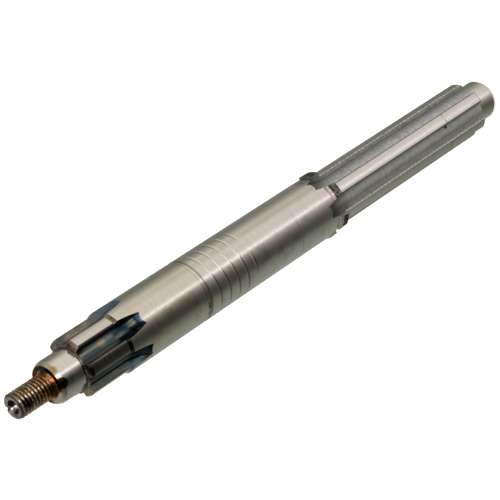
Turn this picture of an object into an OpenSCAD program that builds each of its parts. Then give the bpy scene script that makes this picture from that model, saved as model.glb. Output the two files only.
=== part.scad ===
// Transmission main shaft: one bar of steel, turned, splined and ground, with a threaded stud.
// Millimetres, axis along +Z, standing on the plain journal end with the stud up.

/* [Lengths along the axis] */
// Length of the bearing journal at the foot
rear_journal_len = 14; // [10:0.5:20]
// Length of the long spline between its journal shoulder and the collar
rear_spline_len = 112.5; // [60:0.5:160]
// Length of the collar below the body
collar_len = 6; // [4:0.5:8]
// Length of the ground body
body_len = 135.5; // [100:0.5:200]
// Length of the short spline, its step up to the body included
front_spline_len = 23.5; // [16:0.5:40]
// Length of the bearing journal below the stud
front_journal_len = 13.5; // [10:0.5:20]
// Length of the threaded stud
stud_len = 19.5; // [12:0.5:30]

/* [Diameters] */
// Diameter of the ground body
body_d = 30; // [29:0.5:31]
// Diameter of the collar
collar_d = 32; // [31.5:0.5:36]
// Diameter over the spline teeth
spline_d = 28; // [27.5:0.1:28.5]
// Diameter at the bottom of the spline grooves
root_d = 23; // [22.5:0.1:24.5]
// Diameter of the bearing journal at the foot
rear_journal_d = 20; // [16:0.5:20]
// Diameter of the bearing journal below the stud
front_journal_d = 20; // [17:0.5:20]
// Outside diameter of the stud's thread
stud_d = 12; // [10:1:14]

/* [Splines] */
// Number of teeth on each spline
teeth = 6; // [4:1:6]
// Width of a tooth, the same from root to top
tooth_w = 6; // [5:0.5:6.5]
// Turn of the short spline's teeth against the long spline's
spline_turn = 30; // [0:1:45]
// Depth of the relief in the two bottom corners of a groove
corner_relief = 0.35; // [0.2:0.05:0.6]
// Width of that relief along the bottom of the groove
corner_relief_w = 1.5; // [1:0.1:2]
// Radius of the round cutter that leaves the run-outs
cutter_r = 28; // [24:1:40]
// Distance above the body's upper edge at which the short spline's cutter stops
front_cutter_stop = 3.4; // [2:0.1:6]
// Distance below the collar's upper face at which the long spline's cutter stops
rear_cutter_stop = 9.7; // [8:0.1:14]

/* [Chamfers and fillets] */
// Lead angle of the chamfers, measured from the axis
lead_angle = 30; // [15:1:45]
// Depth of the lead chamfers on the two journals
journal_lead = 1.05; // [0.5:0.05:1.5]
// Depth of the lead chamfers on the two splines
spline_lead = 0.8; // [0.4:0.05:1.2]
// Depth of the edge breaks on the collar
collar_edge = 0.3; // [0.1:0.05:0.5]
// Depth of the edge breaks along the tops of the teeth
tooth_edge = 0.4; // [0.2:0.05:0.6]
// Depth of the chamfer on the stud's end
stud_chamfer = 1; // [0.5:0.1:1.5]
// Radius of the fillets at the shoulders
shoulder_fillet = 0.8; // [0.4:0.1:1]

/* [Ring groove in the body] */
// Distance from the body's upper edge to the ring groove
ring_groove_at = 45.6; // [20:0.1:60]
// Width of the ring groove
ring_groove_w = 2.4; // [1:0.1:4]
// Depth of the ring groove
ring_groove_depth = 0.3; // [0.1:0.05:0.6]

/* [Centre holes] */
// Diameter of the centre hole's pilot
pilot_d = 3.15; // [2:0.05:4]
// Diameter of the centre hole's cone at the face
centre_d = 6.7; // [4.5:0.1:7]
// Depth of the pilot below the face
pilot_depth = 7; // [6.5:0.5:10]
// Angle of the centre hole's cone
centre_angle = 60; // [60:30:90]

/* [Hidden] */
$fn = 96;
eps = 0.01;
steel = [0.66, 0.64, 0.61];
body_r = body_d / 2;
spline_r = spline_d / 2;
root_r = root_d / 2;
collar_r = collar_d / 2;
rear_journal_r = rear_journal_d / 2;
front_journal_r = front_journal_d / 2;
stud_r = stud_d / 2;
half_pitch = 180 / teeth;
journal_lead_len = journal_lead / tan(lead_angle);
spline_lead_len = spline_lead / tan(lead_angle);
step_len = (body_r - spline_r) / tan(lead_angle);
// Heights of the shoulders above the foot
rear_spline_z = rear_journal_len;
collar_z = rear_spline_z + rear_spline_len;
body_z = collar_z + collar_len;
body_top = body_z + body_len;
front_journal_z = body_top + front_spline_len;
stud_z = front_journal_z + front_journal_len;
top_z = stud_z + stud_len;
ring_groove_top = body_top - ring_groove_at;
// Corners of a groove's section, as radius and angle from the middle of the groove
reach_r = collar_r + 3;
deep_r = root_r - corner_relief;
reach_a = half_pitch - asin(tooth_w / 2 / reach_r);
deep_a = half_pitch - asin(tooth_w / 2 / deep_r);
relief_a = half_pitch - asin(tooth_w / 2 / root_r) - corner_relief_w / root_r * 180 / PI;
// Turn of the cutter that carries a run-out clear of the collar
cutter_turn = 60;
// Size of the block that cuts an edge break
edge_cut = 1.5;
// Distance from the collar at which the long spline's edge breaks stop
edge_stop = 0.5;

function polar(r, a) = [r * sin(a), r * cos(a)];

// Outline of the turned bar, from the foot to the stud
module turned_outline() {
    polygon([
        [0, 0],
        [rear_journal_r - journal_lead, 0],
        [rear_journal_r, journal_lead_len],
        [rear_journal_r, rear_spline_z],
        [spline_r - spline_lead, rear_spline_z],
        [spline_r, rear_spline_z + spline_lead_len],
        [spline_r, collar_z],
        [collar_r - collar_edge, collar_z],
        [collar_r, collar_z + collar_edge],
        [collar_r, body_z - collar_edge],
        [collar_r - collar_edge, body_z],
        [body_r, body_z],
        [body_r, ring_groove_top - ring_groove_w],
        [body_r - ring_groove_depth, ring_groove_top - ring_groove_w],
        [body_r - ring_groove_depth, ring_groove_top],
        [body_r, ring_groove_top],
        [body_r, body_top],
        [spline_r, body_top + step_len],
        [spline_r, front_journal_z - spline_lead_len],
        [spline_r - spline_lead, front_journal_z],
        [front_journal_r, front_journal_z],
        [front_journal_r, stud_z - journal_lead_len],
        [front_journal_r - journal_lead, stud_z],
        [stud_r, stud_z],
        [stud_r, top_z - stud_chamfer],
        [stud_r - stud_chamfer, top_z],
        [0, top_z]
    ]);
}

// Fillet in the corner between a stretch of the bar and the shoulder above it
module corner_fillet(r, z, up) {
    translate([r, z])
        mirror([0, up ? 0 : 1])
            difference() {
                translate([-eps, -eps])
                    square(shoulder_fillet + eps);
                translate([shoulder_fillet, shoulder_fillet])
                    circle(r = shoulder_fillet);
            }
}

module turned_bar() {
    rotate_extrude()
        union() {
            turned_outline();
            corner_fillet(rear_journal_r, rear_spline_z, false);
            corner_fillet(front_journal_r, front_journal_z, true);
            corner_fillet(stud_r, stud_z, true);
        }
}

// Steel left between the two relieved corners at the bottom of a groove
module groove_bottom() {
    deep = polar(deep_r, deep_a);
    relief_end = polar(root_r, relief_a);
    past_end = relief_end + (relief_end - deep);
    intersection() {
        circle(r = root_r);
        polygon([
            [0, 0],
            [-deep[0], deep[1]],
            [-past_end[0], past_end[1]],
            past_end,
            deep
        ]);
    }
}

// Section of one spline groove, opening towards +Y: straight flanks, round bottom, relieved corners
module groove_section() {
    difference() {
        polygon([
            polar(reach_r, -reach_a),
            polar(deep_r, -deep_a),
            polar(deep_r, deep_a),
            polar(reach_r, reach_a)
        ]);
        groove_bottom();
    }
}

// One groove cut upwards to where the cutter stops, and the round run-out it leaves there
module groove(length) {
    translate([0, 0, -length])
        linear_extrude(length)
            groove_section();
    translate([0, root_r + cutter_r, 0])
        rotate([90, 0, -90])
            rotate_extrude(angle = cutter_turn)
                translate([root_r + cutter_r, 0])
                    rotate(90)
                        groove_section();
}

// All the grooves of one spline, for a cutter that stops at z = 0
module groove_ring(length) {
    for (i = [0 : teeth - 1])
        rotate((i + 0.5) * 360 / teeth)
            groove(length);
}

// Edge breaks along the tops of all the teeth of one spline, from z = 0 upwards
module tooth_edges(length) {
    corner_y = sqrt(spline_r * spline_r - tooth_w * tooth_w / 4);
    for (i = [0 : teeth - 1])
        for (side = [0, 1])
            rotate(i * 360 / teeth)
                mirror([side, 0, 0])
                    translate([tooth_w / 2, corner_y, 0])
                        rotate(-45)
                            translate([-edge_cut, -tooth_edge * sin(45), 0])
                                cube([2 * edge_cut, edge_cut, length]);
}

module rear_grooves() {
    translate([0, 0, body_z - rear_cutter_stop])
        groove_ring(rear_spline_len + collar_len);
}

module rear_tooth_edges() {
    translate([0, 0, rear_spline_z - eps])
        tooth_edges(rear_spline_len - edge_stop + eps);
}

module front_tooth_edges() {
    translate([0, 0, body_top + step_len])
        rotate(spline_turn)
            tooth_edges(front_spline_len - step_len + eps);
}

module front_grooves() {
    translate([0, 0, body_top + front_cutter_stop])
        rotate(spline_turn)
            mirror([0, 0, 1])
                groove_ring(front_spline_len);
}

// Centre hole in an end face, drilled along -Z from z = 0
module centre_hole() {
    cone_depth = centre_d / 2 / tan(centre_angle / 2);
    translate([0, 0, -cone_depth])
        cylinder(r1 = 0, r2 = centre_d / 2, h = cone_depth);
    translate([0, 0, -pilot_depth])
        cylinder(d = pilot_d, h = pilot_depth);
}

module main_shaft() {
    color(steel)
        difference() {
            turned_bar();
            rear_grooves();
            rear_tooth_edges();
            front_grooves();
            front_tooth_edges();
            translate([0, 0, top_z])
                centre_hole();
            mirror([0, 0, 1])
                centre_hole();
        }
}

main_shaft();
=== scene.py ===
import math

import bmesh
import bpy
from mathutils import Matrix, Vector


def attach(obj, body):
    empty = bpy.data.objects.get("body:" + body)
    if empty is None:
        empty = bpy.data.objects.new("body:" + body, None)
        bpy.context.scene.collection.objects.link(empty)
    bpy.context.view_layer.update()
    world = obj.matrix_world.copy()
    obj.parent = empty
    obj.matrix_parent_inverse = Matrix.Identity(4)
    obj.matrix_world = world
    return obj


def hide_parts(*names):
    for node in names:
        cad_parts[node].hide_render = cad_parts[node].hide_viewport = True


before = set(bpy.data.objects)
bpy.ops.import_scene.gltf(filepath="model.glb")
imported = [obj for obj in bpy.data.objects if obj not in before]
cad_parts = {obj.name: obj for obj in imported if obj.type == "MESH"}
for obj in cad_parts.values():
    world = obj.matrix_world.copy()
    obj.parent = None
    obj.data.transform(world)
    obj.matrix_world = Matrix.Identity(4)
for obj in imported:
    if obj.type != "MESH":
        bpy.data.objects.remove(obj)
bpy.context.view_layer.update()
scene = bpy.context.scene

# Turned bar: the shaft is one bar of alloy steel, turned between centres from the plain foot
# to the stud. All the stretches, shoulders, chamfers and centre holes come off the same lathe,
# so one outline is spun about the axis. Radii and heights above the foot are in millimetres.
MM = 0.001
TURN_STEPS = 192
FOOT_JOURNAL_R, FRONT_JOURNAL_R, STUD_R = 10.0, 10.0, 6.0
LAND_R, BODY_R, COLLAR_R = 14.0, 15.0, 16.0
JOURNAL_LEAD, LAND_LEAD, COLLAR_EDGE = 1.05, 0.8, 0.3
LEAD_SLOPE = math.tan(math.radians(30))
FOOT_SHOULDER_Z, COLLAR_Z, BODY_Z = 14.0, 126.5, 132.5
BODY_TOP_Z, FRONT_SHOULDER_Z, STUD_Z, TOP_Z = 268.0, 291.5, 305.0, 324.5
RING_LOW_Z, RING_HIGH_Z, RING_DEPTH, RING_SLOPE = 220.0, 222.4, 0.3, 0.25
FILLET_R, FILLET_STEPS = 0.8, 6
CENTRE_R, PILOT_R, PILOT_DEPTH = 3.35, 1.575, 7.0
END_DISH, END_RIM_R = 0.45, 5.0
CONE_DEPTH = (CENTRE_R - PILOT_R) / math.tan(math.radians(30))


def shoulder_fillet(radius, height, side):
    """Points of the round corner between a stretch and its shoulder, from the stretch outwards."""
    turn = [math.pi / 2 * step / FILLET_STEPS for step in range(FILLET_STEPS + 1)]
    return [
        (
            radius + FILLET_R * (1 - math.cos(angle)),
            height + side * FILLET_R * (1 - math.sin(angle)),
        )
        for angle in turn
    ]


def rows(radius, low, high, step):
    """Points up a straight stretch, close enough together to carry a fine groove or a thread."""
    count = round((high - low) / step)
    return [(radius, low + (high - low) * i / count) for i in range(count + 1)]


OIL_LOW_Z, OIL_ROW = 186.0, 0.2
THREAD_LOW_Z, THREAD_ROW = STUD_Z + FILLET_R, 0.11
journal_lead_len = JOURNAL_LEAD / LEAD_SLOPE
land_lead_len = LAND_LEAD / LEAD_SLOPE
step_len = (BODY_R - LAND_R) / LEAD_SLOPE
outline = [
    (0, PILOT_DEPTH),
    (PILOT_R, PILOT_DEPTH),
    (PILOT_R, CONE_DEPTH),
    (CENTRE_R, 0),
    (FOOT_JOURNAL_R - JOURNAL_LEAD, 0),
    (FOOT_JOURNAL_R, journal_lead_len),
    *shoulder_fillet(FOOT_JOURNAL_R, FOOT_SHOULDER_Z, -1),
    (LAND_R - LAND_LEAD, FOOT_SHOULDER_Z),
    (LAND_R, FOOT_SHOULDER_Z + land_lead_len),
    (LAND_R, COLLAR_Z),
    (COLLAR_R - COLLAR_EDGE, COLLAR_Z),
    (COLLAR_R, COLLAR_Z + COLLAR_EDGE),
    (COLLAR_R, BODY_Z - COLLAR_EDGE),
    (COLLAR_R - COLLAR_EDGE, BODY_Z),
    (BODY_R, BODY_Z),
    *rows(BODY_R, OIL_LOW_Z, RING_LOW_Z, OIL_ROW),
    (BODY_R - RING_DEPTH, RING_LOW_Z + RING_SLOPE),
    (BODY_R - RING_DEPTH, RING_HIGH_Z - RING_SLOPE),
    (BODY_R, RING_HIGH_Z),
    (BODY_R, BODY_TOP_Z),
    (LAND_R, BODY_TOP_Z + step_len),
    (LAND_R, FRONT_SHOULDER_Z - land_lead_len),
    (LAND_R - LAND_LEAD, FRONT_SHOULDER_Z),
    *reversed(shoulder_fillet(FRONT_JOURNAL_R, FRONT_SHOULDER_Z, 1)),
    (FRONT_JOURNAL_R, STUD_Z - journal_lead_len),
    (FRONT_JOURNAL_R - JOURNAL_LEAD, STUD_Z),
    *reversed(shoulder_fillet(STUD_R, STUD_Z, 1)[1:]),
    *rows(STUD_R, THREAD_LOW_Z, TOP_Z, THREAD_ROW),
    (CENTRE_R, TOP_Z - END_DISH),
    (PILOT_R, TOP_Z - CONE_DEPTH),
    (PILOT_R, TOP_Z - PILOT_DEPTH),
    (0, TOP_Z - PILOT_DEPTH),
]

bar = bmesh.new()
corners = [bar.verts.new((r * MM, 0, z * MM)) for r, z in outline]
sides = [bar.edges.new(pair) for pair in zip(corners, corners[1:])]
bmesh.ops.spin(
    bar, geom=corners + sides, cent=(0, 0, 0), axis=(0, 0, 1),
    angle=2 * math.pi, steps=TURN_STEPS, use_merge=True,
)
bmesh.ops.remove_doubles(bar, verts=bar.verts[:], dist=1e-7)
bmesh.ops.recalc_face_normals(bar, faces=bar.faces[:])

# Finishes of the bar, in the order of the mesh's material slots: what was ground bright,
# what the spline cutters left, and what kept its scale, its brown oil film or its rust.
GROUND, HOBBED, BLUED, BROWNED, SCALE, RUSTY, FACED, LEAD, BROKEN = range(9)
# Each line is a band of the outline: lowest and highest z, lowest and highest radius, finish.
NEAR = 0.001
FINISH_BANDS = [
    (0, PILOT_DEPTH, 0, CENTRE_R, FACED),
    (TOP_Z - PILOT_DEPTH, TOP_Z, 0, CENTRE_R, FACED),
    (0, NEAR, CENTRE_R, FOOT_JOURNAL_R, FACED),
    (TOP_Z - END_DISH, TOP_Z, CENTRE_R, END_RIM_R, FACED),
    (STUD_Z, TOP_Z, 0, STUD_R + FILLET_R, RUSTY),
    (STUD_Z - NEAR, STUD_Z, STUD_R, FRONT_JOURNAL_R, BROWNED),
    (STUD_Z - journal_lead_len, STUD_Z, 0, FRONT_JOURNAL_R, LEAD),
    (FRONT_SHOULDER_Z, FRONT_SHOULDER_Z + FILLET_R, 0, LAND_R, BROWNED),
    (FRONT_SHOULDER_Z - land_lead_len, FRONT_SHOULDER_Z, FRONT_JOURNAL_R, LAND_R, BROWNED),
    (BODY_TOP_Z, BODY_TOP_Z + step_len, LAND_R, BODY_R, BROWNED),
    (COLLAR_Z, BODY_Z + NEAR, BODY_R, COLLAR_R, SCALE),
    (COLLAR_Z, COLLAR_Z + NEAR, LAND_R, COLLAR_R, SCALE),
    (0, journal_lead_len, 0, FOOT_JOURNAL_R, LEAD),
]
for face in bar.faces:
    middle = face.calc_center_median() / MM
    radius = math.hypot(middle.x, middle.y)
    face.material_index = GROUND
    for low_z, high_z, low_r, high_r, finish in FINISH_BANDS:
        if low_z <= middle.z <= high_z and low_r <= radius <= high_r:
            face.material_index = finish
            break

# Oil groove: a fine right-hand spiral, ground into the body from the ring groove towards
# the foot, where it fades out. It carries oil along the bore of the gear that runs there.
OIL_LEAD, OIL_WIDTH, OIL_DEPTH = 6.05, 1.3, 0.17
OIL_AT_AZIMUTH, OIL_AT_Z = math.radians(-91.5), 214.7
OIL_END_Z, OIL_FADE = 188.5, 4.0
for vertex in bar.verts:
    height = vertex.co.z / MM
    radius = vertex.co.xy.length / MM
    if OIL_LOW_Z < height < RING_LOW_Z and radius > LAND_R:
        azimuth = math.atan2(vertex.co.y, vertex.co.x)
        turned = (azimuth - OIL_AT_AZIMUTH) / (2 * math.pi) * OIL_LEAD
        off = (height - OIL_AT_Z - turned + OIL_LEAD / 2) % OIL_LEAD - OIL_LEAD / 2
        fade = min(1, max(0, (height - off - OIL_END_Z) / OIL_FADE))
        cut = OIL_DEPTH * fade * max(0, 1 - (2 * off / OIL_WIDTH) ** 2)
        vertex.co.xy *= (radius - cut) / radius

# Threaded stud: a coarse right-hand M12 thread, cut with a single-point tool from the chamfered
# end to just short of the shoulder. The thread's start breaks through the end's rim.
PITCH, CREST_R, THREAD_DEPTH = 1.75, 5.93, 1.06
CREST_SHARE, ROOT_SHARE = 0.16, 0.2
THREAD_START = math.radians(-150)
THREAD_FADE, PLAIN_ROW = 1.3, 0.05
for vertex in bar.verts:
    height = vertex.co.z / MM
    radius = vertex.co.xy.length / MM
    if height > THREAD_LOW_Z - PLAIN_ROW and radius > CENTRE_R + 1:
        azimuth = math.atan2(vertex.co.y, vertex.co.x)
        phase = ((TOP_Z - height) / PITCH + (azimuth - THREAD_START) / (2 * math.pi)) % 1
        crest = abs(2 * phase - 1)
        sink = (1 - CREST_SHARE - crest) / (1 - CREST_SHARE - ROOT_SHARE)
        sink = min(1, max(0, sink)) * min(1, max(0, (height - THREAD_LOW_Z) / THREAD_FADE))
        wall = CREST_R - THREAD_DEPTH * sink
        if height < THREAD_LOW_Z + PLAIN_ROW:
            wall = STUD_R
        vertex.co.xy *= min(wall, END_RIM_R + TOP_Z - height) / radius

shaft_mesh = bpy.data.meshes.new("main_shaft_steel")
bar.to_mesh(shaft_mesh)
bar.free()
shaft = bpy.data.objects.new("main_shaft_steel", shaft_mesh)
scene.collection.objects.link(shaft)

# Spline grooves: six straight-sided grooves at each end, milled with a round cutter that leaves
# the bar in a scalloped run-out. The bottoms follow the root circle and their corners are relieved.
TEETH, TOOTH_W, ROOT_R, CUTTER_R = 6, 6.0, 11.5, 28.0
CORNER_RELIEF, CORNER_RELIEF_W = 0.35, 1.5
OUTER_R = COLLAR_R + 3
RUN_OUT_TURN, RUN_OUT_STEPS, BOTTOM_STEPS = math.radians(36), 36, 8
REAR_STOP_Z, FRONT_STOP_Z = BODY_Z - 9.7, BODY_TOP_Z + 3.4
REAR_GROOVE_LEN, FRONT_GROOVE_LEN = 118.5, 23.5
TOOTH_EDGE, EDGE_BLOCK, EDGE_OVERRUN, EDGE_STOP = 0.4, 1.5, 0.2, 0.5
FRONT_TURN = math.radians(30)


def flank_angle(radius):
    """Angle from the middle of a groove to its flank, at a radius."""
    return math.pi / TEETH - math.asin(TOOTH_W / 2 / radius)


def around(geometry, mesh, count):
    """The same geometry again at equal steps round the axis."""
    bmesh.ops.spin(
        mesh, geom=geometry, cent=(0, 0, 0), axis=(0, 0, 1),
        angle=2 * math.pi * (count - 1) / count, steps=count - 1, use_duplicate=True,
    )


def cut_away(cutter, name, finish):
    """Takes the cutter's solid out of the shaft; the new faces get the cutter's finish."""
    bmesh.ops.recalc_face_normals(cutter, faces=cutter.faces[:])
    for face in cutter.faces:
        face.material_index = finish
    mesh = bpy.data.meshes.new(name)
    cutter.to_mesh(mesh)
    cutter.free()
    tool = bpy.data.objects.new(name, mesh)
    scene.collection.objects.link(tool)
    cut = shaft.modifiers.new(name, "BOOLEAN")
    cut.object = tool
    cut.operation = "DIFFERENCE"
    cut.solver = "EXACT"
    cut.material_mode = "INDEX"
    graph = bpy.context.evaluated_depsgraph_get()
    result = bpy.data.meshes.new_from_object(shaft.evaluated_get(graph))
    shaft.modifiers.remove(cut)
    spent = shaft.data
    shaft.data = result
    bpy.data.meshes.remove(spent)
    bpy.data.objects.remove(tool)
    bpy.data.meshes.remove(mesh)


def groove_cutters(stop, length, away, turn):
    """Six groove-shaped solids: straight for the length, then round the cutter's radius."""
    cutter = bmesh.new()
    deep_r = ROOT_R - CORNER_RELIEF
    relief = flank_angle(ROOT_R) - CORNER_RELIEF_W / ROOT_R
    half = [(OUTER_R, flank_angle(OUTER_R)), (deep_r, flank_angle(deep_r))]
    bottom = [(ROOT_R, relief * (1 - 2 * i / BOTTOM_STEPS)) for i in range(BOTTOM_STEPS + 1)]
    section = half + bottom + [(r, -a) for r, a in reversed(half)]
    ring = [
        cutter.verts.new((r * math.cos(a) * MM, r * math.sin(a) * MM, stop * MM))
        for r, a in section
    ]
    face = cutter.faces.new(ring)
    bmesh.ops.spin(
        cutter, geom=[face], cent=((ROOT_R + CUTTER_R) * MM, 0, stop * MM), axis=(0, away, 0),
        angle=RUN_OUT_TURN, steps=RUN_OUT_STEPS,
    )
    straight = bmesh.ops.extrude_face_region(cutter, geom=[face])["geom"]
    bmesh.ops.delete(cutter, geom=[face], context="FACES_ONLY")
    bmesh.ops.translate(
        cutter, vec=(0, 0, -away * length * MM),
        verts=[part for part in straight if isinstance(part, bmesh.types.BMVert)],
    )
    bmesh.ops.rotate(
        cutter, cent=(0, 0, 0), matrix=Matrix.Rotation(turn, 3, "Z"), verts=cutter.verts[:]
    )
    around(cutter.verts[:] + cutter.edges[:] + cutter.faces[:], cutter, TEETH)
    return cutter


def edge_blocks(low, high, turn):
    """Blocks that break the two long edges of every tooth, between two heights."""
    cutter = bmesh.new()
    corner_x = math.sqrt(LAND_R ** 2 - (TOOTH_W / 2) ** 2)
    for side in (-1, 1):
        place = (
            Matrix.Translation((corner_x * MM, side * TOOTH_W / 2 * MM, (low + high) / 2 * MM))
            @ Matrix.Rotation(side * math.radians(45), 4, "Z")
            @ Matrix.Translation((
                (EDGE_BLOCK / 2 - TOOTH_EDGE * math.sin(math.radians(45))) * MM, 0, 0
            ))
            @ Matrix.Diagonal((EDGE_BLOCK * MM, 2 * EDGE_BLOCK * MM, (high - low) * MM, 1))
        )
        bmesh.ops.create_cube(cutter, size=1, matrix=place)
    bmesh.ops.rotate(
        cutter, cent=(0, 0, 0), matrix=Matrix.Rotation(turn, 3, "Z"), verts=cutter.verts[:]
    )
    around(cutter.verts[:] + cutter.edges[:] + cutter.faces[:], cutter, TEETH)
    return cutter


cut_away(groove_cutters(REAR_STOP_Z, REAR_GROOVE_LEN, 1, 0), "long_spline_cutter", HOBBED)
cut_away(
    groove_cutters(FRONT_STOP_Z, FRONT_GROOVE_LEN, -1, FRONT_TURN), "short_spline_cutter", BLUED
)
cut_away(
    edge_blocks(FOOT_SHOULDER_Z - EDGE_OVERRUN, COLLAR_Z - EDGE_STOP, FRONT_TURN),
    "long_edge_cutter", BROKEN,
)
cut_away(
    edge_blocks(BODY_TOP_Z + step_len, FRONT_SHOULDER_Z + EDGE_OVERRUN, 0), "short_edge_cutter",
    BROKEN,
)

# Struck rim: the stud's far rim has lost a piece to a blow, right through to the centre hole.
# The gap is round at the bottom, like the edge that struck it, and has rusted since.
NICK_AZIMUTH, NICK_R, NICK_LOW_R, NICK_HIGH_R = math.radians(71), 1.25, 2.4, 7.0
NICK_LIFT, NICK_SEGMENTS = 0.15, 24
nick = bmesh.new()
bmesh.ops.create_cone(
    nick, cap_ends=True, segments=NICK_SEGMENTS, radius1=NICK_R * MM, radius2=NICK_R * MM,
    depth=(NICK_HIGH_R - NICK_LOW_R) * MM,
    matrix=(
        Matrix.Rotation(NICK_AZIMUTH, 4, "Z")
        @ Matrix.Translation(((NICK_LOW_R + NICK_HIGH_R) / 2 * MM, 0, (TOP_Z + NICK_LIFT) * MM))
        @ Matrix.Rotation(math.radians(90), 4, "Y")
    ),
)
cut_away(nick, "rim_nick", RUSTY)
shaft.data.name = "main_shaft_steel"

# Turned and ground surfaces are smooth; every corner sharper than this angle stays a crisp edge,
# as the lathe, the cutter and the wheel left it.
SHARP_ANGLE = math.radians(26)
shaft.data.shade_smooth()
shaft.data.set_sharp_from_angle(angle=SHARP_ANGLE)


# Ground steel: the body, the journals and the tops of the teeth, ground between centres. It is a
# warm bright grey with fine rings round the axis, a straw-coloured tint in patches and dirt in the
# grooves. The short spline's lower land is darkened as painted shade.
def put(kind, inputs=None, **settings):
    """A new node in the tree being made; an input is a plain value or another node's output."""
    made = tree.nodes.new(kind)
    for name, value in settings.items():
        setattr(made, name, value)
    for socket, value in (inputs or {}).items():
        if isinstance(value, bpy.types.NodeSocket):
            tree.links.new(value, made.inputs[socket])
        else:
            made.inputs[socket].default_value = value
    return made


def sums(operation, first, second=0.0, third=0.0, clamp=False):
    made = put("ShaderNodeMath", {0: first, 1: second, 2: third}, operation=operation)
    made.use_clamp = clamp
    return made.outputs[0]


def blend(share, first, second, how="MIX"):
    """Two colours mixed by a share."""
    made = put(
        "ShaderNodeMix", {0: share, 6: first, 7: second},
        data_type="RGBA", blend_type=how, clamp_factor=True,
    )
    return made.outputs[2]


def span(value, low, high, to_low=0.0, to_high=1.0):
    """A value carried from one range to another, held at the ends."""
    made = put("ShaderNodeMapRange", {0: value, 1: low, 2: high, 3: to_low, 4: to_high})
    return made.outputs[0]


def ramp(value, stops):
    """Colours along a value."""
    made = put("ShaderNodeValToRGB", {0: value})
    while len(made.color_ramp.elements) < len(stops):
        made.color_ramp.elements.new(0.5)
    for element, (place, colour) in zip(made.color_ramp.elements, stops):
        element.position = place
        element.color = (*colour, 1)
    return made.outputs[0]


def noise(vector, scale, detail=3.0, rough=0.55):
    made = put(
        "ShaderNodeTexNoise",
        {"Vector": vector, "Scale": scale, "Detail": detail, "Roughness": rough},
    )
    return made.outputs[0]


def new_material(name, metal, specular=0.5):
    """A new material with its own shader, and the place on the shaft that its patterns read."""
    made = bpy.data.materials.new(name)
    made.use_nodes = True
    tree = made.node_tree
    shader = tree.nodes["Principled BSDF"]
    shader.inputs["Metallic"].default_value = metal
    shader.inputs["Specular IOR Level"].default_value = specular
    place = tree.nodes.new("ShaderNodeTexCoord").outputs["Object"]
    return made, tree, shader, place


def dress(shader, colour, rough, height=None, relief=0.0):
    """Joins a colour, a roughness and a relief, in metres, to a material's shader."""
    tree.links.new(colour, shader.inputs["Base Color"])
    tree.links.new(rough, shader.inputs["Roughness"])
    if height is not None:
        bump = put("ShaderNodeBump", {"Strength": 1.0, "Distance": relief, "Height": height})
        tree.links.new(bump.outputs[0], shader.inputs["Normal"])


def new_group(name, inputs, outputs):
    """A node group for an effect that several materials share, with the sockets it names."""
    made = bpy.data.node_groups.new(name, "ShaderNodeTree")
    for label, kind in inputs.items():
        made.interface.new_socket(label, in_out="INPUT", socket_type="NodeSocket" + kind)
    for label in outputs:
        made.interface.new_socket(label, in_out="OUTPUT", socket_type="NodeSocketFloat")
    return made, made.nodes.new("NodeGroupInput").outputs, made.nodes.new("NodeGroupOutput").inputs


def shared(name, *values):
    """A shared effect, put into the tree being made; its inputs are given in order."""
    group = bpy.data.node_groups[name]
    return put("ShaderNodeGroup", dict(enumerate(values)), node_tree=group).outputs


# Fine rings that a lathe tool or a grinding wheel leaves round the axis.
RING_DRIFT = 25.0
tree, given, result = new_group(
    "turning_rings", {"Place": "Vector", "Rings per metre": "Float"}, ["Ring"]
)
xyz = put("ShaderNodeSeparateXYZ", {0: given["Place"]}).outputs
pressed = put("ShaderNodeCombineXYZ", {
    0: sums("MULTIPLY", xyz[0], RING_DRIFT),
    1: sums("MULTIPLY", xyz[1], RING_DRIFT),
    2: sums("MULTIPLY", xyz[2], given["Rings per metre"]),
}).outputs[0]
tree.links.new(noise(pressed, 1.0, 4.0, 0.62), result["Ring"])

# Patches of stain, film or rust, of a size, a cover and a softness of edge.
tree, given, result = new_group(
    "stain_patches",
    {"Place": "Vector", "Patches per metre": "Float", "Level": "Float", "Softness": "Float"},
    ["Patch"],
)
field = noise(given["Place"], given["Patches per metre"], 5.0, 0.6)
over = sums("SUBTRACT", field, given["Level"])
over = sums("DIVIDE", over, given["Softness"])
tree.links.new(sums("ADD", over, 0.5, clamp=True), result["Patch"])

# Distance of a place from the shaft's axis, and its height above the foot.
tree, given, result = new_group("axis_place", {"Place": "Vector"}, ["Radius", "Height"])
xyz = put("ShaderNodeSeparateXYZ", {0: given["Place"]}).outputs
flat = put("ShaderNodeCombineXYZ", {0: xyz[0], 1: xyz[1]}).outputs[0]
away = put("ShaderNodeVectorMath", {0: flat}, operation="LENGTH").outputs["Value"]
tree.links.new(away, result["Radius"])
tree.links.new(xyz[2], result["Height"])

# One stain about a point, full inside its core and gone at its reach, with an edge drawn ragged.
DRIFTS_PER_METRE = 700.0
tree, given, result = new_group(
    "spot_mark",
    {"Place": "Vector", "Centre": "Vector", "Core": "Float", "Reach": "Float", "Ragged": "Float"},
    ["Mask"],
)
drift = put(
    "ShaderNodeTexNoise",
    {"Vector": given["Place"], "Scale": DRIFTS_PER_METRE, "Detail": 3.0},
).outputs[1]
for operation, inputs in (
    ("SUBTRACT", {1: (0.5, 0.5, 0.5)}), ("SCALE", {"Scale": given["Ragged"]}),
    ("ADD", {1: given["Place"]}),
):
    drift = put("ShaderNodeVectorMath", {0: drift, **inputs}, operation=operation).outputs[0]
away = put(
    "ShaderNodeVectorMath", {0: drift, 1: given["Centre"]}, operation="DISTANCE"
).outputs["Value"]
tree.links.new(span(away, given["Core"], given["Reach"], 1.0, 0.0), result["Mask"])

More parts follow.
